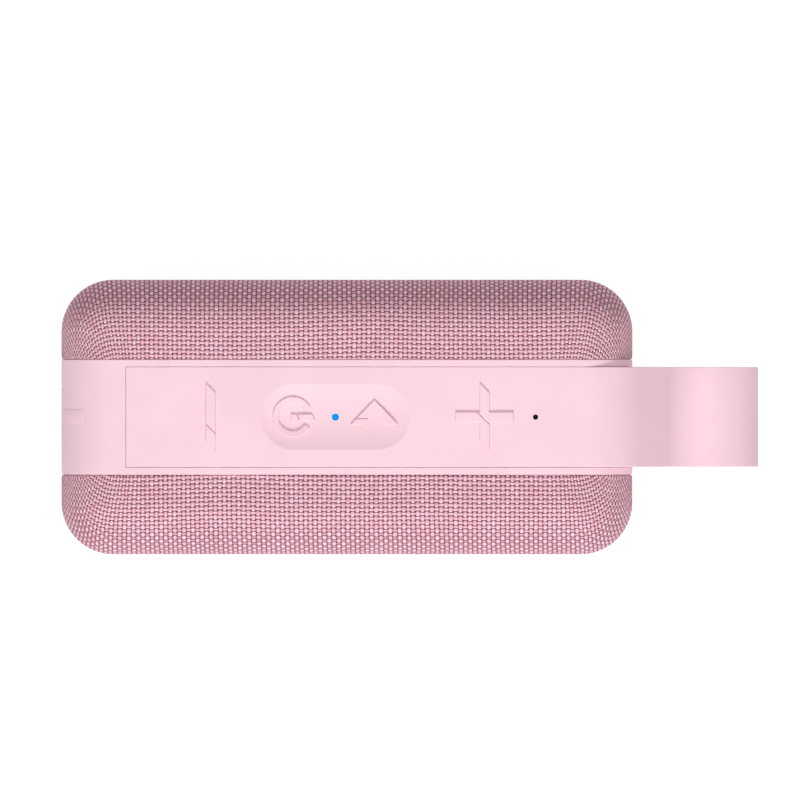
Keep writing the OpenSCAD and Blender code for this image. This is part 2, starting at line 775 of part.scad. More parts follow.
module board_screws() color([0.6, 0.6, 0.62]) {
    at_main_screws() {
        rod_y(screw_r, 0.4, main_board_y + board_t + 0.1);
        rod_y(1.6, main_board_y + board_t, main_board_y + board_t + 1);
    }
    at_switch_board_screws() {
        rod_z(screw_r, board_z - board_t - 0.1, board_z + 2);
        rod_z(1.6, board_z - board_t - 1, board_z - board_t);
    }
    at_port_board_screws() {
        rod_z(screw_r, port_board_z - shelf_t + 0.2, port_board_z + board_t + 0.1);
        rod_z(1.2, port_board_z + board_t, port_board_z + board_t + 1);
    }
}

module battery_leads() color([0.1, 0.1, 0.1]) lead_pair([
    [-10.5, battery_y1 + 0.55, mid_z + 0.4], [-7.6, 0.3, mid_z + 0.9], [-5.1, 1.6, mid_z + 0.4],
    [-4.6, 3.4, mid_z - 1.1], [-6.2, 4.7, mid_z - 3], [-9.5, 4.5, mid_z - 4.2],
    [-12.4, 4.4, mid_z - 4.4]], 0.5, [0, 0, -1.6], [0, 0, -1.6]);

belt_frame();
front_cover();
rear_cover();
front_fabric();
rear_fabric();
front_baffle();
rear_baffle();
front_gasket();
rear_gasket();
baffle_screws();
control_strap();
strap_anchor_plates();
strap_screws();
minus_key();
power_key();
play_key();
plus_key();
minus_plunger();
power_plunger();
play_plunger();
plus_plunger();
switch_board();
tact_switches();
status_led();
light_pipe();
microphone();
microphone_boot();
microphone_membrane();
port_cover();
port_board();
usb_c_socket();
port_gasket();
driver_basket();
driver_magnet();
driver_top_plate();
driver_yoke();
driver_cone();
dust_cap();
voice_coil();
driver_surround();
driver_spider();
driver_screws();
radiator_frame();
radiator_surround();
radiator_plate();
battery_pack();
battery_tray();
main_board();
board_parts();
board_screws();
driver_leads();
battery_leads();
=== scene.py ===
"""The looks of the shower speaker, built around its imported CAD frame. The builders work in millimetres."""

import json
import math

import bmesh
import bpy
import numpy as np
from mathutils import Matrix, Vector


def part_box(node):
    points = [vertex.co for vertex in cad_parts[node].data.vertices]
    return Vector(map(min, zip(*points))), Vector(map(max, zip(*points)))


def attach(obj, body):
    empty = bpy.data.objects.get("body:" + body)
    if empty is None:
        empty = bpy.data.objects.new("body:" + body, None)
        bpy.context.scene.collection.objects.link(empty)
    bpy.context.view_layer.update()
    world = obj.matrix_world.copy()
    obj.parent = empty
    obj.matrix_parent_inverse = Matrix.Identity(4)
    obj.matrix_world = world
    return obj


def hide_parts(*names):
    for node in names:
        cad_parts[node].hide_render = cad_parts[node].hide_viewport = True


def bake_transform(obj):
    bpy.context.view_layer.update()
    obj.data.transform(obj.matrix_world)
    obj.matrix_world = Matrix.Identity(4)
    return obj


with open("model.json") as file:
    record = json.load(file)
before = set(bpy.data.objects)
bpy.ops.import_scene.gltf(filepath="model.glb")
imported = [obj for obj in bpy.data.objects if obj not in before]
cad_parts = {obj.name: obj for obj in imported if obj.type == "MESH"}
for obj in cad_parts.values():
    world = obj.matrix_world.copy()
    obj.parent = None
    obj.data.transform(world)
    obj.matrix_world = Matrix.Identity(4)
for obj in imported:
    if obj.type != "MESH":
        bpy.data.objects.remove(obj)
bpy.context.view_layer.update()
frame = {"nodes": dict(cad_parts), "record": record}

MM = 0.001
# In metres: points nearer than this become one
MERGE = 1e-6
# An edge that turns by more than this stays sharp
SHARP = math.radians(32)
# How closely a guide's normal agrees with a face's own, to be used there
GUIDED = 0.95
# The Z of a normal from which its face counts as level
LEVEL = 0.99999
# In millimetres: a point this near to a surface counts as on it
TOUCH = 0.01
ROUNDING = 1e-6
# The size at the middle of a turned or domed shape, in place of zero
PINPOINT = 0.001


def box_mm(node):
    return [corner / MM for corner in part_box(node)]


# ---------- sizes read from the frame ----------

belt_low, belt_high = box_mm("belt_frame")
strap_low, strap_high = box_mm("control_strap")
FRONT_Y = -box_mm("front_fabric")[0].y
SIDE_X = belt_high.x
BELT_Y = belt_high.y
TOP_Z = belt_high.z
MID_Z = (belt_low.z + belt_high.z) / 2
STRAP_Y = strap_high.y
STRIP_X = strap_low.x
LOOP_X = strap_high.x
FOOT_Z = belt_low.z

# The body is an inner block, the core, with a rounded skin round it
EDGE_R = 10.0
CORE_X = SIDE_X - EDGE_R
CORE_Y = FRONT_Y - EDGE_R
CORE_Z = TOP_Z - MID_Z - EDGE_R
BELT_T = 4.5
FLANGE_T = 7.5
FLANGE_W = 3.0
FABRIC_T = 0.8
# The share of the way over the edge along which spare cloth is eased in beside a corner
EASE_SHARE = 0.3
STRAP_T = 2.0
# The gap between the strap and its bed
SEAM = 0.06
CORNER_STEPS = 18

# The loop's outer face: over the shoulder, down a straight, through the hollow and round the end
SHOULDER_R, HOLLOW_R, END_R = 12.0, 8.3, 10.6
SLOPE = 57
SLOPE_COS, SLOPE_SIN = math.cos(math.radians(SLOPE)), math.sin(math.radians(SLOPE))
END_X = LOOP_X - END_R
HOLLOW_C = (END_X, MID_Z + END_R + HOLLOW_R)
STRAIGHT = (TOP_Z - MID_Z - END_R - (SHOULDER_R + HOLLOW_R) * (1 - SLOPE_COS)) / SLOPE_SIN
SHOULDER_C = (END_X - (HOLLOW_R + SHOULDER_R) * SLOPE_SIN - STRAIGHT * SLOPE_COS, TOP_Z - SHOULDER_R)

# The port's recess and its cover. Their upper edges are angles past the vertical, over the left shoulder
PORT_W = 12.0
PORT_T = 1.6
COVER_T = 1.4
HINGE_Z = MID_Z - 2.0
HINGE_X = COVER_T / 2 - SIDE_X
HINGE_ROOM = 0.95
PORT_Z = (box_mm("usb_c_socket")[0].z + box_mm("usb_c_socket")[1].z) / 2
COVER_EDGE = 75.4
COVER_GAP = 0.08
RECESS_EDGE = 74.0
TAB_EDGE = 34.0
TAB_W = 2.8
TAB_H = 0.09
TAB_CLEAR = 0.02

lamp_low, lamp_high = box_mm("light_pipe")
LAMP_X = (lamp_low.x + lamp_high.x) / 2
LAMP_R = (lamp_high.x - lamp_low.x) / 2
mic_low, mic_high = box_mm("microphone_membrane")
MIC_X = (mic_low.x + mic_high.x) / 2
MIC_R = 0.5

# The hollow in the strip: its depth, its end radius and half the length of its middle line
SCOOP_D = 0.95
SCOOP_R = 6.3
SCOOP_SPINE = 8.05
SYMBOL_H = 0.42
# A key's web: its thickness, and its grid's steps along the key's side and across to the strip
WEB_T = 0.6
WEB_STEPS = (8, 5)
STEM_R = 1.5

ROOT = "speaker_body"


# ---------- outlines ----------

def heading(angle):
    """The direction at an angle in degrees."""
    return math.cos(math.radians(angle)), math.sin(math.radians(angle))


def arc(centre, radius, first, last, steps):
    """Points on an arc between two angles in degrees."""
    return [(centre[0] + radius * math.cos(a), centre[1] + radius * math.sin(a))
            for a in np.radians(np.linspace(first, last, steps + 1))]


def stadium(length, width, steps=16):
    half = (length - width) / 2
    return arc((half, 0), width / 2, -90, 90, steps) + arc((-half, 0), width / 2, 90, 270, steps)


def rectangle(half_x, half_y):
    return [(half_x, -half_y), (half_x, half_y), (-half_x, half_y), (-half_x, -half_y)]


def octagon(apothem):
    radius = apothem / math.cos(math.pi / 8)
    return [(radius * math.cos(a), radius * math.sin(a)) for a in np.radians(np.arange(-22.5, 337, 45))]


def anticlockwise(outline):
    area = sum(a[0] * b[1] - b[0] * a[1] for a, b in zip(outline, outline[1:] + outline[:1]))
    return outline if area > 0 else outline[::-1]


def grown(outline, by):
    """An anticlockwise outline moved out by a distance, with mitred corners."""
    points = np.array(outline, float)
    edges = np.roll(points, -1, 0) - points
    edges /= np.linalg.norm(edges, axis=1)[:, None]
    after = np.column_stack((edges[:, 1], -edges[:, 0]))
    before = np.roll(after, 1, 0)
    mitre = (after + before) / (1 + (after * before).sum(1))[:, None]
    return [tuple(p) for p in points + by * mitre]


def shifted(outline, x):
    return [(p[0] + x, p[1]) for p in outline]


# ---------- meshes ----------

def loft(rings, closed=False):
    """Points and faces of a tube through rings of equal length, capped unless its ends meet."""
    count, size = len(rings), len(rings[0])
    faces = []
    for i in range(count if closed else count - 1):
        here, there = i * size, (i + 1) % count * size
        faces += [(here + k, here + (k + 1) % size, there + (k + 1) % size, there + k) for k in range(size)]
    if not closed:
        faces += [tuple(range(size - 1, -1, -1)), tuple(range((count - 1) * size, count * size))]
    return [tuple(p) for ring in rings for p in ring], faces


def joined(*shells):
    points, faces = [], []
    for shell_points, shell_faces in shells:
        faces += [tuple(i + len(points) for i in face) for face in shell_faces]
        points += shell_points
    return points, faces


def lathe(profile, x, steps=40):
    """A closed shape turned about a vertical line at Y 0, from a profile of radius and height."""
    turns = [2 * math.pi * i / steps for i in range(steps)]
    return loft([[(x + r * math.cos(a), r * math.sin(a), z) for a in turns] for r, z in profile])


def prism(outline, low, high):
    return loft([[(*p, low) for p in outline], [(*p, high) for p in outline]])


def weld(mesh, outward=False):
    """Joins points that fall together, drops faces without area, and turns the faces outward if asked."""
    work = bmesh.new()
    work.from_mesh(mesh)
    bmesh.ops.remove_doubles(work, verts=work.verts, dist=MERGE)
    bmesh.ops.dissolve_degenerate(work, edges=work.edges, dist=MERGE)
    if outward:
        bmesh.ops.recalc_face_normals(work, faces=work.faces)
    work.to_mesh(mesh)
    work.free()


def mesh_object(name, shape):
    points, faces = shape
    mesh = bpy.data.meshes.new(name)
    mesh.from_pydata([Vector(p) * MM for p in points], [], faces)
    weld(mesh, outward=True)
    made = bpy.data.objects.new(name, mesh)
    bpy.context.scene.collection.objects.link(made)
    return made


def combine(target, shape, operation="DIFFERENCE"):
    """Cuts a shape out of a piece, or adds it."""
    tool = mesh_object("tool", shape)
    modifier = target.modifiers.new("combine", "BOOLEAN")
    modifier.object = tool
    modifier.operation = operation
    modifier.solver = "EXACT"
    result = bpy.data.meshes.new_from_object(target.evaluated_get(bpy.context.evaluated_depsgraph_get()))
    target.modifiers.clear()
    result.name = target.name
    weld(result)
    target.data = result
    bpy.data.objects.remove(tool)


def smooth(target, guide=None):
    """Smooth shading between sharp edges. A guide gives the true normal at a point, where it knows it."""
    mesh = target.data
    mesh.shade_smooth()
    mesh.set_sharp_from_angle(angle=SHARP)
    if guide is None:
        return
    normals = np.zeros(len(mesh.loops) * 3)
    mesh.corner_normals.foreach_get("vector", normals)
    normals = normals.reshape(-1, 3)
    for face in mesh.polygons:
        flat = np.array(face.normal)
        for loop in face.loop_indices:
            true = guide(np.array(mesh.vertices[mesh.loops[loop].vertex_index].co) / MM, flat)
            if true is not None and true @ flat > GUIDED:
                normals[loop] = true
    mesh.normals_split_custom_set(normals.tolist())


def finish_piece(piece, body, slot, replaces=(), guide=None):
    smooth(piece, guide)
    piece.data.materials.clear()
    piece.data.materials.append(looks[slot])
    if replaces:
        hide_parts(*replaces)
    if body:
        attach(piece, body)
    return piece


def unit(vector):
    return np.array(vector) / np.linalg.norm(vector)


def body_normal(point, _=None):
    """The outward normal of the rounded body, from the nearest point of its inner block."""
    core = np.array((CORE_X, CORE_Y, CORE_Z))
    centred = point - np.array((0, 0, MID_Z))
    return unit(centred - np.clip(centred, -core, core))


# ---------- materials ----------

class Graph:
    """A material's node tree, with short ways to add nodes."""

    def __init__(self, name):
        self.material = bpy.data.materials.new(name)
        self.material.use_nodes = True
        self.tree = self.material.node_tree
        self.shader = self.tree.nodes["Principled BSDF"]

    def node(self, kind, **settings):
        node = self.tree.nodes.new(kind)
        for key, value in settings.items():
            setattr(node, key, value)
        return node

    def feed(self, socket, value):
        """Links a socket to another, or sets its own value."""
        if isinstance(value, bpy.types.NodeSocket):
            self.tree.links.new(value, socket)
        else:
            socket.default_value = value

    def math(self, operation, *values):
        node = self.node("ShaderNodeMath", operation=operation)
        for socket, value in zip(node.inputs, values):
            self.feed(socket, value)
        return node.outputs[0]

    def less(self, value, by):
        return self.math("SUBTRACT", value, by)

    def times(self, value, by):
        return self.math("MULTIPLY", value, by)

    def mix(self, share, first, second):
        node = self.node("ShaderNodeMix", data_type="RGBA")
        for socket, value in zip((node.inputs[0], node.inputs[6], node.inputs[7]), (share, first, second)):
            self.feed(socket, value)
        return node.outputs[2]

    def place(self, scale=(1, 1, 1)):
        """The point on the object in millimetres, stretched by a scale."""
        mapping = self.node("ShaderNodeMapping")
        self.feed(mapping.inputs["Vector"], self.node("ShaderNodeTexCoord").outputs["Object"])
        mapping.inputs["Scale"].default_value = [s / MM for s in scale]
        return mapping.outputs[0]

    def noise(self, scale, detail=2.0, place=None, roughness=0.5):
        node = self.node("ShaderNodeTexNoise")
        self.feed(node.inputs["Vector"], place or self.place())
        node.inputs["Scale"].default_value = scale
        node.inputs["Detail"].default_value = detail
        node.inputs["Roughness"].default_value = roughness
        return node.outputs["Fac"]

    def spread(self, value, low, high, to_low=0.0, to_high=1.0):
        """A smooth step of a value between two limits."""
        node = self.node("ShaderNodeMapRange", interpolation_type="SMOOTHSTEP")
        for socket, number in zip(node.inputs, (value, low, high, to_low, to_high)):
            self.feed(socket, number)
        return node.outputs[0]

    def bump(self, height, depth):
        """A bump of a depth in millimetres."""
        node = self.node("ShaderNodeBump")
        node.inputs["Strength"].default_value = 1.0
        node.inputs["Distance"].default_value = depth * MM
        self.feed(node.inputs["Height"], height)
        return node.outputs[0]

    def set(self, **values):
        """Feeds the shader's inputs, named with _ for each space."""
        for key, value in values.items():
            self.feed(self.shader.inputs[key.replace("_", " ")], value)
        return self.material


def scaled(colour, by):
    return (*(min(1, c * by) for c in colour[:3]), 1)


def moulded(name, colour, roughness, grain=5.0, depth=0.012, cloud=0.025, **values):
    """A moulded surface: faint clouding, a fine grain and a roughness that varies a little."""
    g = Graph(name)
    clouds = g.spread(g.noise(0.09, 3), 0.3, 0.7)
    g.set(Base_Color=g.mix(clouds, scaled(colour, 1 - cloud), scaled(colour, 1 + cloud)))
    g.set(Roughness=g.spread(g.noise(0.35, 2), 0.25, 0.75, roughness - 0.04, roughness + 0.05))
    g.set(Normal=g.bump(g.noise(grain, 3, roughness=0.6), depth), **values)
    return g.material


def metal(name, colour, roughness, stretch=(0.15, 6, 6), **values):
    """Metal with fine drawn or turned marks."""
    g = Graph(name)
    marks = g.noise(1.2, 4, g.place(stretch), 0.6)
    g.set(Base_Color=g.mix(g.spread(marks, 0.3, 0.7), scaled(colour, 0.9), scaled(colour, 1.05)))
    g.set(Roughness=g.spread(marks, 0.3, 0.7, roughness - 0.06, roughness + 0.08))
    g.set(Normal=g.bump(marks, 0.01), Metallic=1.0, **values)
    return g.material


def circuit_board(name, colour):
    """Solder mask over faint copper tracks."""
    g = Graph(name)
    brick = g.node("ShaderNodeTexBrick", offset=0.37)
    g.feed(brick.inputs["Vector"], g.place((0.9, 0.9, 0.9)))
    brick.inputs["Scale"].default_value = 0.55
    brick.inputs["Mortar Size"].default_value = 0.05
    tracks = brick.outputs["Fac"]
    g.set(Base_Color=g.mix(tracks, scaled(colour, 0.85), scaled(colour, 1.7)))
    g.set(Roughness=g.spread(g.noise(0.8), 0.3, 0.7, 0.28, 0.4), Normal=g.bump(tracks, 0.03))
    return g.material


def woven(name):
    """A plain weave of fat warp yarns and thin weft bars, in the sheet's own coordinates in millimetres.

    Each cell shows a bead, where the warp yarn is on top, or a bar, where the weft is. Neighbouring beads
    reach into a bar's cell from both sides. Where the relief is low, between the yarns, the colour goes
    near-black as painted shade. Towards the face, the bars sink and this painted shade reaches further up
    the yarns, so the outer rows are darker.
    """
    g = Graph(name)
    uv = g.node("ShaderNodeUVMap", uv_map="weave").outputs[0]
    parts = g.node("ShaderNodeSeparateXYZ")
    g.feed(parts.inputs[0], uv)
    flat_x, flat_z = parts.outputs[0], parts.outputs[1]

    # A slow drift and a small wobble of the yarns, in cells
    drift, wobble = g.times(g.noise(0.03, 1), 2.4), g.times(g.noise(0.6, 1), 0.22)
    across = g.math("ADD", g.math("DIVIDE", flat_x, COLUMN), g.math("ADD", drift, wobble))
    along = g.math("ADD", g.math("DIVIDE", flat_z, ROW), g.less(wobble, drift))
    i, j = g.math("FLOOR", across), g.math("FLOOR", along)
    du = g.math("ABSOLUTE", g.less(g.less(across, i), 0.5))
    dv_signed = g.less(g.less(along, j), 0.5)
    dv = g.math("ABSOLUTE", dv_signed)
    under = g.math("FLOORED_MODULO", g.math("ADD", i, j), 2.0)
    bead_dv = g.math("ADD", dv, g.times(under, g.less(1.0, g.times(dv, 2.0))))
    bead_row = g.math("ADD", j, g.times(under, g.math("SIGN", dv_signed)))

    width_part = g.math("POWER", g.math("DIVIDE", du, BEAD_HALF_W), 2.1)
    length_part = g.math("POWER", g.math("DIVIDE", bead_dv, BEAD_HALF_L), 2.3)
    bead_inside = g.less(g.less(1.0, width_part), length_part)
    bead = g.math("POWER", g.math("MAXIMUM", bead_inside, 0.0), 0.65)
    past_core_x = g.less(g.math("ABSOLUTE", flat_x), CORE_X)
    past_core_z = g.less(g.math("ABSOLUTE", flat_z), CORE_Z)
    past_core = g.math("MAXIMUM", past_core_x, past_core_z)
    crest = g.spread(past_core, 7.0, 16.0, 0.30, 0.48)
    dip = g.less(crest, g.times(g.math("POWER", du, 4.0), 2.4))
    bar_inside = g.less(1.0, g.math("POWER", g.math("DIVIDE", dv, BAR_HALF), 2.0))
    bar = g.times(g.times(under, dip), g.math("SQRT", g.math("MAXIMUM", bar_inside, 0.0)))
    height = g.math("MAXIMUM", bead, bar)

    # Each yarn's stretch between two dips has its own tone, and fine fibres run aslant over all of them
    seed = g.node("ShaderNodeCombineXYZ")
    g.feed(seed.inputs[0], i)
    g.feed(seed.inputs[1], bead_row)
    chance = g.node("ShaderNodeTexWhiteNoise", noise_dimensions="2D")
    g.feed(chance.inputs["Vector"], seed.outputs[0])
    tone = g.mix(chance.outputs["Value"], YARN_ROSE, YARN_PALE)
    yarn = g.mix(g.math("GREATER_THAN", bar, bead), tone, YARN_WEFT)
    fibre_place = g.node("ShaderNodeMapping")
    g.feed(fibre_place.inputs["Vector"], uv)
    fibre_place.inputs["Rotation"].default_value = (0, 0, 0.5)
    fibre_place.inputs["Scale"].default_value = (9, 2.5, 1)
    fibres = g.noise(1.0, 3, fibre_place.outputs[0], 0.6)
    fibred = g.mix(g.spread(fibres, 0.3, 0.7, 0.0, 0.22), yarn, YARN_SHADE)

    # Painted shade: how high up the relief the near-black gap colour reaches, higher towards the face
    painted_shade_height = g.spread(past_core, 16.0, 5.0, 0.34, 0.57)
    colour = g.mix(g.spread(height, 0.0, painted_shade_height), YARN_GAP_PAINTED_SHADE, fibred)
    relief = g.math("ADD", height, g.times(fibres, 0.12))
    g.set(Base_Color=colour, Roughness=0.82, Normal=g.bump(relief, WEAVE_DEPTH))
    g.set(Sheen_Weight=0.12, Sheen_Roughness=0.5, Specular_IOR_Level=0.3)
    return g.material


def lit_lamp(name):
    """The lit lens: a blue glow, stronger in the middle."""
    g = Graph(name)
    from_middle = g.node("ShaderNodeVectorMath", operation="DISTANCE")
    g.feed(from_middle.inputs[0], g.place())
    from_middle.inputs[1].default_value = (LAMP_X, 0, TOP_Z - SCOOP_D)
    glow = g.mix(g.spread(from_middle.outputs["Value"], 0.1, LAMP_R), LAMP_BLUE, LAMP_RIM_BLUE)
    g.set(Base_Color=(0.0, 0.01, 0.03, 1), Roughness=0.2, Specular_IOR_Level=0.08)
    g.set(Emission_Color=glow, Emission_Strength=0.95, Normal=g.bump(g.noise(3.0), 0.005))
    return g.material


def winding(name, colour):
    """Fine enamelled wire, wound round and round."""
    g = Graph(name)
    wave = g.node("ShaderNodeTexWave", wave_type="BANDS", bands_direction="Y")
    g.feed(wave.inputs["Vector"], g.place())
    wave.inputs["Scale"].default_value = 1.6
    turns = wave.outputs["Fac"]
    # Darker between the turns, where the relief is low: painted shade
    g.set(Base_Color=g.mix(turns, scaled(colour, 0.5), colour), Roughness=0.3, Metallic=0.8)
    g.set(Normal=g.bump(turns, 0.1))
    return g.material


def cloth(name, colour, pitch, depth):
    """A small plain weave for inner cloths and films."""
    g = Graph(name)
    bands = []
    for direction in ("X", "Z"):
        wave = g.node("ShaderNodeTexWave", wave_type="BANDS", bands_direction=direction)
        g.feed(wave.inputs["Vector"], g.place())
        wave.inputs["Scale"].default_value = 0.31 / pitch
        wave.inputs["Distortion"].default_value = 0.4
        bands.append(wave.outputs["Fac"])
    threads = g.math("MAXIMUM", *bands)
    # Darker between the threads, where the relief is low: painted shade
    g.set(Base_Color=g.mix(threads, scaled(colour, 0.55), colour), Roughness=0.8)
    g.set(Normal=g.bump(threads, depth))
    return g.material


PINK_STRAP = (0.885, 0.618, 0.685, 1)
PINK_BELT = (0.878, 0.613, 0.682, 1)
YARN_ROSE = (0.90, 0.45, 0.53, 1)
YARN_PALE = (0.95, 0.59, 0.67, 1)
YARN_WEFT = (0.95, 0.57, 0.66, 1)
YARN_SHADE = (0.66, 0.32, 0.40, 1)
# The near-black of the low parts between the yarns: painted shade
YARN_GAP_PAINTED_SHADE = (0.18, 0.05, 0.09, 1)
LAMP_BLUE = (0.0, 0.33, 0.95, 1)
LAMP_RIM_BLUE = (0.0, 0.25, 0.83, 1)

# The weave's cell in millimetres, its yarns' half sizes in cells, and its depth in millimetres
COLUMN, ROW = 0.90, 0.865
BEAD_HALF_W, BEAD_HALF_L, BAR_HALF = 0.485, 0.67, 0.30
WEAVE_DEPTH = 0.36

looks = {
    "belt": moulded("belt_plastic", PINK_BELT, 0.52, grain=7.0, depth=0.006, Specular_IOR_Level=0.4),
    "silicone": moulded("pink_silicone", PINK_STRAP, 0.62, grain=9.0, depth=0.005, cloud=0.018,
                        Specular_IOR_Level=0.3),
    "fabric": woven("pink_weave"),
    "cover_plastic": moulded("cover_plastic", (0.30, 0.25, 0.27, 1), 0.55),
    "dark_plastic": moulded("dark_plastic", (0.04, 0.04, 0.045, 1), 0.5),
    "dark_rubber": moulded("dark_rubber", (0.012, 0.012, 0.012, 1), 0.75, grain=6.0, depth=0.02),
    "steel": metal("drawn_steel", (0.62, 0.63, 0.65, 1), 0.3),
    "circuit_board": circuit_board("solder_mask", (0.02, 0.16, 0.09, 1)),
    "chip": moulded("epoxy_package", (0.03, 0.03, 0.035, 1), 0.6, grain=8.0, depth=0.02),
    "lamp": lit_lamp("lit_lamp"),
    "led_chip": moulded("clear_epoxy", (0.9, 0.9, 0.8, 1), 0.15, Transmission_Weight=0.4),
    "brass": metal("gold_plate", (0.72, 0.56, 0.28, 1), 0.25),
    "membrane": cloth("acoustic_film", (0.8, 0.8, 0.8, 1), 0.12, 0.01),
    "ferrite": moulded("sintered_ferrite", (0.08, 0.08, 0.085, 1), 0.45, grain=2.5, depth=0.03),
    "copper": winding("copper_winding", (0.65, 0.30, 0.14, 1)),
    "cone_paper": moulded("pressed_pulp", (0.025, 0.025, 0.028, 1), 0.8, grain=2.0, depth=0.05),
    "aluminium": metal("anodised_plate", (0.62, 0.63, 0.65, 1), 0.35, stretch=(6, 6, 0.15)),
    "spider_cloth": cloth("dipped_cotton", (0.70, 0.52, 0.18, 1), 0.45, 0.08),
    "battery_wrap": moulded("shrink_wrap", (0.05, 0.13, 0.35, 1), 0.25, grain=0.6, depth=0.05),
    "red_wire": moulded("red_insulation", (0.5, 0.02, 0.02, 1), 0.4),
    "black_wire": moulded("black_insulation", (0.02, 0.02, 0.02, 1), 0.4),
}


def lamp_ring_look():
    return moulded("lamp_ring", (0.95, 0.93, 0.95, 1), 0.3, grain=6.0, depth=0.004)


# ---------- the hollow in the strip and everything that follows its surface ----------

def from_spine(x, y):
    """The distance from the hollow's middle line, and its direction."""
    beyond = x - LAMP_X
    beyond -= max(-SCOOP_SPINE, min(SCOOP_SPINE, beyond))
    return math.hypot(beyond, y), (beyond, y)


def top_at(x, y):
    """The height of the strip's top, with its hollow."""
    distance, _ = from_spine(x, y)
    return TOP_Z - SCOOP_D * max(0.0, 1 - (distance / SCOOP_R) ** 2)


def top_normal(point, flat):
    """The strip's normal at a point of a face whose own normal is given."""
    if point[0] > SHOULDER_C[0] + ROUNDING:
        return None
    if point[2] < MID_Z:
        return np.array((0.0, 0.0, -1.0))
    distance, (dx, dy) = from_spine(point[0], point[1])
    if flat[2] > LEVEL or distance > SCOOP_R + TOUCH:
        return np.array((0.0, 0.0, 1.0))
    rise = 2 * SCOOP_D / SCOOP_R ** 2
    return unit((-rise * dx, -rise * dy, 1.0))


def scoop_cutter():
    """A bowl with long sides. Its last rings pass just inside and just outside the rim, for a clean line."""
    rings = []
    for share in (0, 0.12, 0.25, 0.38, 0.5, 0.61, 0.71, 0.8, 0.88, 0.95, 1.05):
        r = max(share, PINPOINT) * SCOOP_R
        height = TOP_Z - SCOOP_D * (1 - (r / SCOOP_R) ** 2)
        rings.append([(x + LAMP_X, y, height) for x, y in stadium(2 * (SCOOP_SPINE + r), 2 * r, 28)])
    rings.append([(x, y, TOP_Z + 1) for x, y, _ in rings[-1]])
    return loft(rings)


def patch(corners, steps_u, steps_v, thickness):
    """A thin solid over four plan corners that follows the strip's top."""
    a, b, c, d = (np.array(p, float) for p in corners)
    us, vs = np.linspace(0, 1, steps_u + 1), np.linspace(0, 1, steps_v + 1)
    plan = [[(1 - v) * ((1 - u) * a + u * b) + v * ((1 - u) * d + u * c) for u in us] for v in vs]
    wide = steps_u + 1
    count = wide * (steps_v + 1)
    points = [(*p, top_at(*p)) for line in plan for p in line]
    points += [(x, y, z - thickness) for x, y, z in points]
    faces = []
    for j in range(steps_v):
        for i in range(steps_u):
            k = j * wide + i
            faces.append((k, k + 1, k + wide + 1, k + wide))
            faces.append((k + count, k + wide + count, k + wide + 1 + count, k + 1 + count))
    rim = list(range(wide))
    rim += [j * wide + steps_u for j in range(1, steps_v + 1)]
    rim += [steps_v * wide + i for i in range(steps_u - 1, -1, -1)]
    rim += [j * wide for j in range(steps_v - 1, 0, -1)]
    faces += [(k, k + count, m + count, m) for k, m in zip(rim, rim[1:] + rim[:1])]
    return points, faces


def divided(outline, steps):
    """An outline with each side cut into equal steps."""
    result = []
    for (ax, ay), (bx, by) in zip(outline, outline[1:] + outline[:1]):
        result += [(ax + (bx - ax) * k / steps, ay + (by - ay) * k / steps) for k in range(steps)]
    return result


def plate(outline, x):
    """A key's plate: its top follows the strip's top, and its base is level with the strip's."""
    fine = divided(outline, 6)
    rings = [[(x + px * share, py * share, top_at(x + px * share, py * share)) for px, py in fine]
             for share in (PINPOINT, 0.2, 0.4, 0.6, 0.8, 1.0)]
    rings.append([(x + px, py, TOP_Z - STRAP_T) for px, py in fine])
    return loft(rings)


def raised(outline, x):
    """A raised mark with drafted sides and a rounded upper edge, standing on the strip's top."""
    base = ((0.10, -0.12), (0.06, 0.02))
    edge = ((0.02, SYMBOL_H - 0.10), (-0.02, SYMBOL_H - 0.03), (-0.09, SYMBOL_H))
    rings = []
    for by, rise in base + edge:
        around = grown(anticlockwise(outline), by)
        rings.append([(x + px, py, top_at(x + px, py) + rise) for px, py in around])
    return loft(rings)


# ---------- keys ----------

# Half the width of a mark's bar, half the length of an upright bar, and half the height of a slit
BAR, BAR_L = 0.9, 6.45
SLIT = 0.13


def minus_marks():
    """An upright bar with slanted ends, in two pieces."""
    cut = -2.27
    return [
        [(-BAR, BAR_L), (BAR, BAR_L - 2 * BAR), (BAR, cut + SLIT - BAR), (-BAR, cut + SLIT + BAR)],
        [(-BAR, cut - SLIT + BAR), (BAR, cut - SLIT - BAR), (BAR, -BAR_L), (-BAR, 2 * BAR - BAR_L)]]


def plus_marks():
    """A cross with a slanted slit through its middle."""
    cut, arm = -0.5, 5.55
    right = [(-BAR, BAR_L), (BAR, BAR_L - 2 * BAR), (BAR, BAR), (arm, BAR), (arm, -BAR), (BAR, -BAR)]
    right += [(BAR, cut + SLIT - BAR), (cut + SLIT - BAR, BAR), (-BAR, BAR)]
    left = [(-arm, BAR), (cut - SLIT - BAR, BAR), (BAR, cut - SLIT - BAR)]
    left += [(BAR, -BAR_L), (-BAR, 2 * BAR - BAR_L), (-BAR, -BAR), (-arm, -BAR)]
    return [right, left]


def power_marks():
    """A broken ring, and a short bar in two pieces with slanted ends."""
    outer, inner, first, last = 3.85, 2.75, 29, 326.5
    start, split, resume, end = -0.3, 0.72, 0.95, 3.7
    high, low = 0.5, -0.64
    lean = 0.52
    return [
        arc((0, 0), outer, first, last, 60) + arc((0, 0), inner, last, first, 60),
        [(start, high), (split, high), (split + lean, low), (start, low)],
        [(resume, high), (end, high), (end + lean, low), (resume + lean, low)]]


def play_marks():
    """A peak with two legs, and a level slit through the left one."""
    peak, half, leg, foot, inner_peak = 3.25, 4.42, 2.2, -1.35, 0.95
    split, slit = -0.28, 0.09

    def outer_x(y):
        return -half * (peak - y) / (peak - foot)

    def inner_x(y):
        return -leg * (inner_peak - y) / (inner_peak - foot)

    above, below = split + slit, split - slit
    right = [(0, peak), (half, foot), (leg, foot), (0, inner_peak)]
    right += [(inner_x(above), above), (outer_x(above), above)]
    return [right, [(outer_x(below), below), (inner_x(below), below), (-leg, foot), (-half, foot)]]


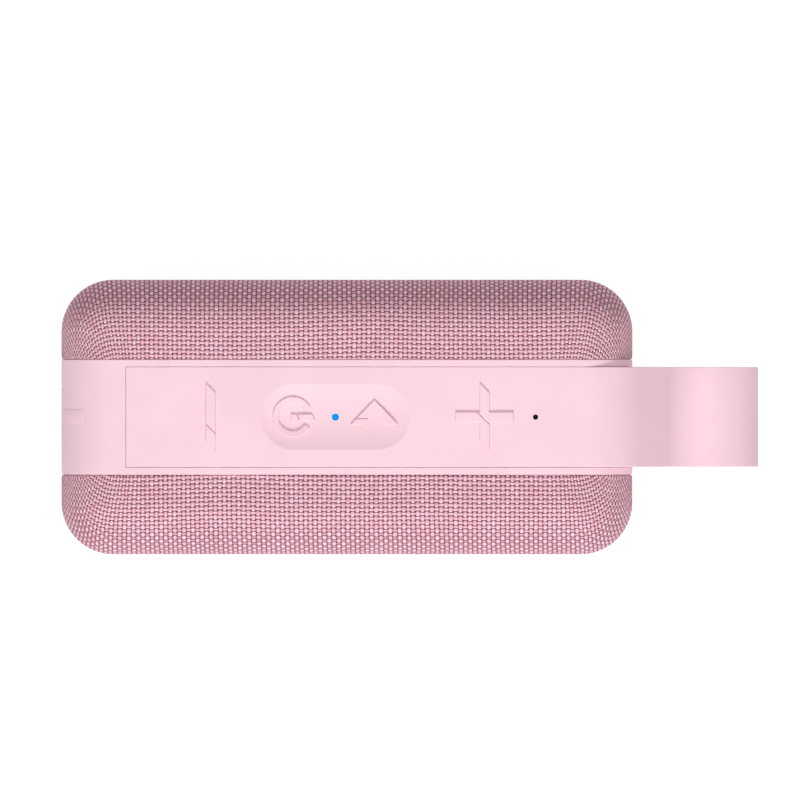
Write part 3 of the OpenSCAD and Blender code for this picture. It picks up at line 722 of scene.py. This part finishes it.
# Each key's outline, the width of the web round it, and its marks
KEYS = {
    "minus_key": (rectangle(1.6, 7.1), 1.4, minus_marks()),
    "plus_key": (rectangle(6.1, 7.1), 1.4, plus_marks()),
    "power_key": (octagon(4.25), 1.25, power_marks()),
    "play_key": (octagon(4.65), 0.95, play_marks()),
}


def centre_x(node):
    low, high = box_mm(node)
    return (low.x + high.x) / 2


def key_x(name):
    return centre_x(name.replace("key", "plunger"))


def build_keys():
    """Each key's rigid middle, and the web round it between the strip and the key."""
    stem_top = TOP_Z - STRAP_T + 0.1
    for name, (outline, web, marks) in KEYS.items():
        x = key_x(name)
        low = box_mm(name)[0].z
        stem = lathe([(PINPOINT, stem_top), (STEM_R, stem_top), (STEM_R, low), (PINPOINT, low)], x)
        shape = joined(plate(outline, x), stem, *(raised(mark, x) for mark in marks))
        finish_piece(mesh_object(name + "_top", shape), name, "silicone", [name], key_normal)
        build_web(name, outline, web, x)


def key_normal(point, flat):
    """The strip's normal on a key's top and its web, above the stem and the plate's base."""
    return top_normal(point, flat) if point[2] > TOP_Z - STRAP_T + 0.5 else None


def build_web(name, outline, web, x):
    """A ring of soft sectors, one to each side of the key."""
    inner = shifted(outline, x)
    outer = shifted(grown(outline, web), x)
    for k in range(len(outline)):
        m = (k + 1) % len(outline)
        shape = patch([outer[k], outer[m], inner[m], inner[k]], *WEB_STEPS, WEB_T)
        sector = mesh_object(f"{name}_web_{k + 1}", shape)
        finish_piece(sector, None, "silicone", guide=key_normal)
        start, end = ((np.array(ring[k]) + np.array(ring[m])) / 2 for ring in (outer, inner))
        side = unit(np.array(inner[m]) - np.array(inner[k]))
        end = start + (end - start) - side * ((end - start) @ side)
        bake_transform(sector)


# ---------- strap ----------

def strap_frames():
    """Points on the strap's outer face, with the direction to its inner face, as a path in XZ."""
    rise = 90 - SLOPE
    level = [STRIP_X + ahead for ahead in (0, 0.05, 0.18, 0.5)]
    level += [SHOULDER_C[0] - back for back in (0.9, 0.5)]
    upper = [((x, TOP_Z), (0, -1)) for x in level]
    for n in map(heading, np.linspace(90, rise, 15)):
        upper.append(((SHOULDER_C[0] + SHOULDER_R * n[0], SHOULDER_C[1] + SHOULDER_R * n[1]), (-n[0], -n[1])))
    for n in map(heading, np.linspace(180 + rise, 270, 15)):
        upper.append(((HOLLOW_C[0] + HOLLOW_R * n[0], HOLLOW_C[1] + HOLLOW_R * n[1]), n))
    for n in map(heading, np.linspace(90, 0, 21)[1:]):
        upper.append(((END_X + END_R * n[0], MID_Z + END_R * n[1]), (-n[0], -n[1])))
    lower = [((p[0], 2 * MID_Z - p[1]), (n[0], -n[1])) for p, n in reversed(upper[:-1])]
    return upper + lower


def strap_section(drop, radius=0.12):
    """The strap's outline across its width, as pairs of Y and depth. A drop lowers the outer face."""
    corners = ((STRAP_Y - radius, drop + radius, 90, 0, -1), (STRAP_Y - radius, STRAP_T - radius, 0, -90, -1))
    right = [(STRAP_Y - 3 * radius, drop)]
    for y, depth, first, last, sign in corners:
        right += [(p[0], depth + sign * (p[1] - depth)) for p in arc((y, depth), radius, first, last, 3)]
    left = [(-y, depth) for y, depth in reversed(right)]
    return right + left


def build_strap():
    path = strap_frames()
    tip = [0.1, 0.03]
    drops = tip + [0.0] * (len(path) - 2 * len(tip)) + tip[::-1]
    rings = [[(p[0] + n[0] * depth, y, p[1] + n[1] * depth) for y, depth in strap_section(drop)]
             for (p, n), drop in zip(path, drops)]
    strap = mesh_object("control_strap_moulding", loft(rings))
    combine(strap, foot_pad(), "UNION")
    combine(strap, scoop_cutter())
    for name, (outline, web, _) in KEYS.items():
        hole = shifted(grown(outline, web), key_x(name))
        combine(strap, prism(hole, TOP_Z - STRAP_T - 1, TOP_Z + 1))
    for x, radius in ((LAMP_X, LAMP_R + 0.2), (MIC_X, MIC_R + 0.02)):
        combine(strap, lathe([(radius, TOP_Z - STRAP_T - 1), (radius, TOP_Z + 1)], x))
    finish_piece(strap, ROOT, "silicone", ["control_strap"], top_normal)


def foot_pad():
    """A low pad with round ends and a rounded lower edge, with its top inside the strap."""
    length, width = 78, 17
    return loft([[(x, y, z) for x, y in stadium(length - 2 * inset, width - 2 * inset)]
                 for inset, z in ((0.25, 0.0), (0.07, 0.07), (0.0, 0.25), (0.0, FOOT_Z + 0.4))])


# ---------- belt ----------

def bed_depth(angle):
    """The depth of the strap's bed at an angle round the body's right shoulder."""
    n = np.array(heading(angle))
    offset = np.array((CORE_X, CORE_Z + MID_Z)) - np.array(SHOULDER_C)
    along = offset @ n
    reach = -along + math.sqrt(along ** 2 - offset @ offset + (SHOULDER_R - STRAP_T) ** 2)
    return max(0.0, min(STRAP_T, EDGE_R - reach))


def belt_stations():
    """Where the belt's section stands round the body: the core's point, the angle, and both beds' depths."""
    start = STRIP_X - SEAM
    steps = np.linspace(90, 0, CORNER_STEPS + 1)
    right = [(CORE_X, CORE_Z, a, bed_depth(a), 0) for a in steps]
    top = [(start, CORE_Z, 90, 0, 0), (start, CORE_Z, 90, STRAP_T, 0)]
    recess_low = HINGE_Z - HINGE_ROOM - MID_Z
    port = [(-CORE_X, recess_low, 180, 0, 0), (-CORE_X, recess_low, 180, 0, PORT_T)]
    shoulder = [(-CORE_X, CORE_Z, a, 0, PORT_T) for a in np.linspace(180, 90 + RECESS_EDGE, 13)]
    shoulder += [(-CORE_X, CORE_Z, a, 0, 0) for a in np.linspace(90 + RECESS_EDGE, 90, 7)]
    upper_right = top + right
    lower_right = [(x, -z, -a, bed, 0) for x, z, a, bed, _ in reversed(upper_right)]
    lower_left = [(-CORE_X, -CORE_Z, -a, 0, 0) for a in np.linspace(90, 180, CORNER_STEPS + 1)]
    return port + shoulder + upper_right + lower_right + lower_left


def belt_section(bed, port, rim=0.1, edge=0.3):
    """The belt's outline across its width, as pairs of Y and depth."""
    bed_y = STRAP_Y + SEAM
    port_y = PORT_W / 2
    bed_rim = min(rim, bed)
    port_rim = min(rim, port)
    half = [(0, bed + port), (port_y, bed + port), (port_y, bed + port_rim),
            (port_y + 0.3 * port_rim, bed + 0.3 * port_rim), (port_y + port_rim, bed),
            (bed_y, bed), (bed_y, bed_rim), (bed_y + 0.3 * bed_rim, 0.3 * bed_rim), (bed_y + bed_rim, 0)]
    half += [(BELT_Y - edge + edge * math.sin(a), edge - edge * math.cos(a))
             for a in np.radians((0, 30, 60, 90))]
    half += [(BELT_Y, FLANGE_T), (BELT_Y - FLANGE_W, FLANGE_T), (BELT_Y - FLANGE_W, BELT_T), (0, BELT_T)]
    return half + [(-y, depth) for y, depth in reversed(half[1:-1])]


def body_point(x, z, angle, depth, y):
    """A point at a depth under the body's outer face, from a point of its core and an angle."""
    a = math.radians(angle)
    reach = EDGE_R - depth
    return (x + reach * math.cos(a), y, MID_Z + z + reach * math.sin(a))


def build_belt():
    rings = [[body_point(x, z, a, depth, y) for y, depth in belt_section(bed, port)]
             for x, z, a, bed, port in belt_stations()]
    belt = mesh_object("belt_shell", loft(rings, closed=True))
    hole_l, hole_h = 10.54, 4.86
    ends = (-SIDE_X - 1, -SIDE_X + 11)
    combine(belt, loft([[(x, y, PORT_Z + z) for y, z in stadium(hole_l, hole_h)] for x in ends]))
    stem_room = STEM_R + 0.3
    for name, (outline, web, _) in KEYS.items():
        x = key_x(name)
        combine(belt, lathe([(stem_room, TOP_Z - BELT_T - 1), (stem_room, TOP_Z - STRAP_T + 1)], x))
        pocket = shifted(grown(outline, web), x)
        combine(belt, prism(pocket, TOP_Z - STRAP_T - WEB_T, TOP_Z - STRAP_T + 1))
    for x, radius in ((LAMP_X, LAMP_R + 0.05), (MIC_X, MIC_R + 0.02)):
        combine(belt, lathe([(radius, TOP_Z - BELT_T - 1), (radius, TOP_Z)], x))
    finish_piece(belt, ROOT, "belt", ["belt_frame"], body_normal)


# ---------- fabrics ----------

def fabric_stations():
    """Core points and angles round the fabric's face, going once round."""
    per_x, per_z, corner = 30, 14, 18
    xs, zs = np.linspace(CORE_X, -CORE_X, per_x + 1), np.linspace(CORE_Z, -CORE_Z, per_z + 1)
    stations = [(x, CORE_Z, 90) for x in xs[:-1]]
    stations += [(-CORE_X, CORE_Z, a) for a in np.linspace(90, 180, corner + 1)[:-1]]
    stations += [(-CORE_X, z, 180) for z in zs[:-1]]
    stations += [(-CORE_X, -CORE_Z, a) for a in np.linspace(180, 270, corner + 1)[:-1]]
    stations += [(x, -CORE_Z, 270) for x in xs[::-1][:-1]]
    stations += [(CORE_X, -CORE_Z, a) for a in np.linspace(270, 360, corner + 1)[:-1]]
    stations += [(CORE_X, z, 360) for z in zs[::-1][:-1]]
    stations += [(CORE_X, CORE_Z, a) for a in np.linspace(360, 450, corner + 1)[:-1]]
    return stations, xs, zs


def fan_direction(x, z, angle, reach, run):
    """Which way the yarns run out over the edge, in the flat cloth.

    Round a corner they turn with the surface. The cloth that is left over there is taken up smoothly, along
    the corner and for a short way on both sides of it.
    """
    corner = EDGE_R * math.pi / 2
    from_vertical = math.acos(min(1.0, abs(math.sin(math.radians(angle)))))
    along = EDGE_R * from_vertical - (CORE_X - abs(x)) + (CORE_Z - abs(z))
    kept = min(1.0, reach / run) if run else 1.0
    ease = EASE_SHARE * run
    share = max(0.0, min(1.0, (along + ease) / (corner + 2 * ease)))
    turn = kept * max(0.0, min(corner, along)) / EDGE_R
    turn += (1 - kept) * math.pi / 2 * share * share * (3 - 2 * share)
    return math.copysign(math.sin(turn), x), math.copysign(math.cos(turn), z)


def fabric_profile(inset):
    """From the face's edge to the belt: reach from the core, Y, and the distance over the cloth."""
    radius = EDGE_R - inset
    profile = []
    for a in np.linspace(0, 90, 19):
        t = math.radians(a)
        profile.append((radius * math.sin(t), CORE_Y + radius * math.cos(t), EDGE_R * t))
    tucks = [(CORE_Y - 2.5, 0)]
    tucks += [(BELT_Y + off, tuck) for off, tuck in ((0.55, 0), (0.3, 0.06), (0.12, 0.18), (0.02, 0.38))]
    for y, tuck in tucks:
        profile.append((radius - (tuck if inset == 0 else 0), y, EDGE_R * math.pi / 2 + CORE_Y - y))
    return profile


def build_fabric(name, side):
    """A skin of cloth over one half of the body. Its weave runs flat over the face and out over the edges."""
    stations, xs, zs = fabric_stations()
    points, flat, faces, hems = [], [], [], []
    count, wide = len(stations), len(xs)
    for inset in (0, FABRIC_T):
        base = len(points)
        profile = fabric_profile(inset)
        deep = len(profile)
        for x, z, angle in stations:
            a = math.radians(angle)
            for reach, y, run in profile:
                fan = fan_direction(x, z, angle, reach, run)
                points.append((x + reach * math.cos(a), side * y, MID_Z + z + reach * math.sin(a)))
                flat.append((x + run * fan[0], z + run * fan[1]))
        for i in range(count):
            here, there = base + i * deep, base + (i + 1) % count * deep
            faces += [(here + k, there + k, there + k + 1, here + k + 1) for k in range(deep - 1)]
        grid = len(points)
        for z in zs:
            for x in xs:
                points.append((x, side * (CORE_Y + EDGE_R - inset), MID_Z + z))
                flat.append((x, z))
        for j in range(len(zs) - 1):
            here, there = grid + j * wide, grid + (j + 1) * wide
            faces += [(here + i, here + i + 1, there + i + 1, there + i) for i in range(wide - 1)]
        hems.append([base + i * deep + deep - 1 for i in range(count)])
    outer, inner = hems
    faces += [(outer[i], outer[(i + 1) % count], inner[(i + 1) % count], inner[i]) for i in range(count)]
    fabric = mesh_object(name + "_weave", (points, faces))
    set_weave(fabric, points, flat)
    finish_piece(fabric, ROOT, "fabric", [name], body_normal)
    face, run = (2 * CORE_X, 2 * CORE_Z), EDGE_R * math.pi / 2 + CORE_Y - BELT_Y


def set_weave(fabric, points, flat):
    """The cloth's own flat coordinates, in millimetres, for its woven material."""
    where = {tuple(np.round(p, 3)): uv for p, uv in zip(points, flat)}
    layer = fabric.data.uv_layers.new(name="weave")
    for loop in fabric.data.loops:
        co = fabric.data.vertices[loop.vertex_index].co / MM
        layer.data[loop.index].uv = where[nearest_key(where, co)]


def nearest_key(where, co):
    """The key of a point that was rounded to the micrometre, or of one a step away from it."""
    key = tuple(np.round(co, 3))
    if key in where:
        return key
    for dx in (-0.001, 0, 0.001):
        for dy in (-0.001, 0, 0.001):
            for dz in (-0.001, 0, 0.001):
                near = tuple(np.round((co[0] + dx, co[1] + dy, co[2] + dz), 3))
                if near in where:
                    return near
    raise ValueError(f"no cloth coordinate at {co}")


# ---------- port cover ----------

def cover_stations():
    """The flap's way from its hinge up the left side and round the shoulder."""
    side = [(-CORE_X, z, 180) for z in np.linspace(HINGE_Z - MID_Z, CORE_Z, 6)[:-1]]
    return side + [(-CORE_X, CORE_Z, a) for a in np.linspace(180, 90 + COVER_EDGE, 15)]


def rounded_slab(half_y, low, high, radius):
    """An outline across a flap, as pairs of Y and depth, with rounded corners."""
    right = arc((half_y - radius, low + radius), radius, -90, 0, 4)
    right += arc((half_y - radius, high - radius), radius, 0, 90, 4)
    return right + [(-y, depth) for y, depth in reversed(right)]


def flap_rings(half_y, radius=0.2):
    """The flap, with its upper end rounded off."""
    stations = cover_stations()
    rings = [[body_point(x, z, a, depth, y) for y, depth in rounded_slab(half_y, 0.0, COVER_T, radius)]
             for x, z, a in stations]
    x, z, a = stations[-1]
    for ahead, inset in ((0.9, 0.08), (1.5, 0.25)):
        slab = rounded_slab(half_y - inset, inset, COVER_T - inset, radius)
        rings.append([body_point(x, z, a - ahead, depth, y) for y, depth in slab])
    return rings


def knuckle_rings(half_y):
    """The round edge at the hinge, with rounded ends."""
    ends = ((0, 0.45), (0.12, 0.62), (0.3, 0.7))
    steps = [(in_y - half_y, r) for in_y, r in ends] + [(half_y - in_y, r) for in_y, r in reversed(ends)]
    return [[(x, y, z) for x, z in arc((HINGE_X, HINGE_Z), r, 0, 345, 23)] for y, r in steps]


def tab_rings():
    """The pull tab over the shoulder: a low dome across, resting just clear of the belt."""
    steps = [(TAB_EDGE, 0.055, 0.7), (TAB_EDGE + 0.5, 0.07, 0.9), (TAB_EDGE + 1.6, TAB_H, 1.0)]
    steps += [(angle, TAB_H, 1.0) for angle in np.linspace(TAB_EDGE + 4, COVER_EDGE + 1.2, 12)]
    rings = []
    for angle, rise, spread in steps:
        half_y = TAB_W / 2 * spread
        dome = [(half_y * math.cos(t), -TAB_CLEAR - (rise - TAB_CLEAR) * math.sin(t) ** 2)
                for t in np.linspace(0, math.pi, 15)]
        rings.append([body_point(-CORE_X, CORE_Z, 90 + angle, depth, y) for y, depth in dome])
    return rings


def plug_rings():
    """A hollow plug that fills the socket's mouth, from its root outward and back inside its wall."""
    plug_l, plug_h = 9.84, 4.16
    steps = ((0.9, 0), (2.6, 0), (2.8, 0.12), (2.8, 0.5), (2.6, 0.6), (1.5, 0.6))
    return [[(deep - SIDE_X, y, PORT_Z + z) for y, z in stadium(plug_l - 2 * inset, plug_h - 2 * inset)]
            for deep, inset in steps]


def build_port_cover():
    half_y = PORT_W / 2 - COVER_GAP
    parts = flap_rings(half_y), knuckle_rings(half_y), tab_rings(), plug_rings()
    cover = mesh_object("port_cover_flap", joined(*map(loft, parts)))
    finish_piece(cover, "port_cover", "silicone", ["port_cover"], cover_normal)


def cover_normal(point, _):
    """The body's normal on the flap's outer face."""
    on_face = abs(point[1]) < PORT_W / 2 and point[2] > HINGE_Z
    depth = EDGE_R - np.linalg.norm((point[0] + CORE_X, max(0, point[2] - MID_Z - CORE_Z)))
    return body_normal(point) if on_face and abs(depth) < TOUCH else None


# ---------- lamp and microphone ----------

def build_lamp():
    """The lens with its low dome, and the pale collar round it."""
    rim = top_at(LAMP_X, LAMP_R)
    dome_h = 0.1
    lens = [(PINPOINT, lamp_low.z), (LAMP_R, lamp_low.z), (LAMP_R, rim)]
    lens += [(LAMP_R * math.cos(a), rim + dome_h * math.sin(a)) for a in np.radians((25, 50, 70, 85))]
    finish_piece(mesh_object("lamp_lens", lathe(lens, LAMP_X)), ROOT, "lamp", ["light_pipe"])
    wall, deep = 0.18, 1.4
    section = [(0, -deep), (wall, -deep), (wall, 0), (wall - 0.05, 0.05), (0.05, 0.05), (0, 0.02)]
    around = np.linspace(0, 2 * math.pi, 41)[:-1]
    collar_shape = loft([[(LAMP_X + (LAMP_R + out) * math.cos(a), (LAMP_R + out) * math.sin(a), rim + up)
                          for out, up in section] for a in around], closed=True)
    collar = finish_piece(mesh_object("lamp_collar", collar_shape), ROOT, "silicone")
    collar.data.materials[0] = lamp_ring_look()


def build_mic_shade_plug():
    """A near-black plug down the microphone's hole: painted shade, so that the deep hole reads dark."""
    low, top = mic_high.z + 0.02, TOP_Z - 0.12
    shade_plug = [(PINPOINT, low), (MIC_R, low), (MIC_R, top)]
    shade_plug += [(MIC_R - 0.06, top - 0.02), (MIC_R - 0.08, top - 0.6), (PINPOINT, top - 0.7)]
    # The near-black rubber here is painted shade for the deep hole
    finish_piece(mesh_object("microphone_shade_plug", lathe(shade_plug, MIC_X)), ROOT, "dark_rubber")


# ---------- the CAD nodes that stay ----------

def dress_frame():
    """Gives every CAD node the look of its record's slot."""
    for part in frame["record"]["subparts"]:
        mesh = frame["nodes"][part["node"]].data
        mesh.materials.clear()
        mesh.materials.append(looks[part["material_slot"]])


# ---------- floor, light and camera ----------

def soft_light(name, place, aim, size, watts):
    """A rectangular lamp, placed and sized in metres."""
    data = bpy.data.lights.new(name, "AREA")
    data.shape = "RECTANGLE"
    data.size, data.size_y = size
    data.energy = watts
    light = bpy.data.objects.new(name, data)
    light.location = place
    light.rotation_euler = (Vector(aim) - Vector(place)).to_track_quat("-Z", "Y").to_euler()
    light.visible_camera = False
    bpy.context.scene.collection.objects.link(light)


def build_stage():
    """A glowing white floor, a pale surround and three soft lights."""
    half, level = 2500, -0.05
    floor = mesh_object("floor", prism(rectangle(half, half), level - 1, level))
    g = Graph("white_floor")
    clouds = g.noise(0.01, 2)
    g.set(Base_Color=g.mix(clouds, (0.24, 0.24, 0.24, 1), (0.26, 0.26, 0.26, 1)), Roughness=0.9)
    g.set(Emission_Color=(1, 1, 1, 1), Emission_Strength=0.88)
    g.set(Specular_IOR_Level=0.1, Normal=g.bump(g.noise(0.5), 0.01))
    floor.data.materials.append(g.material)

    world = bpy.data.worlds.new("studio")
    world.use_nodes = True
    background = world.node_tree.nodes["Background"]
    background.inputs["Color"].default_value = (1, 0.95, 0.965, 1)
    background.inputs["Strength"].default_value = 0.30
    bpy.context.scene.world = world

    soft_light("front_key", (0.03, -0.75, 0.62), (0, 0, 0.03), (0.42, 0.26), 6.85)
    soft_light("overhead", (0, -0.1, 0.95), (0, 0, 0), (1.0, 0.8), 3.0)
    soft_light("rear_fill", (-0.05, 0.75, 0.5), (0, 0, 0.03), (0.5, 0.3), 1.2)
    bpy.context.scene.view_settings.view_transform = "Standard"


def build_camera():
    """Straight down from far off, so that the view is all but free of perspective."""
    lens, sensor, frame_w = 1400.0, 36.0, 0.1539
    middle = (0.01023, 0.00328)
    data = bpy.data.cameras.new("camera")
    data.lens = lens
    data.sensor_width = sensor
    data.clip_end = 50
    camera = bpy.data.objects.new("camera", data)
    camera.location = (*middle, TOP_Z * MM + frame_w * lens / sensor)
    bpy.context.scene.collection.objects.link(camera)
    bpy.context.scene.camera = camera


dress_frame()
build_belt()
build_strap()
build_keys()
build_fabric("front_fabric", -1)
build_fabric("rear_fabric", 1)
build_port_cover()
build_lamp()
build_mic_shade_plug()
build_stage()
build_camera()
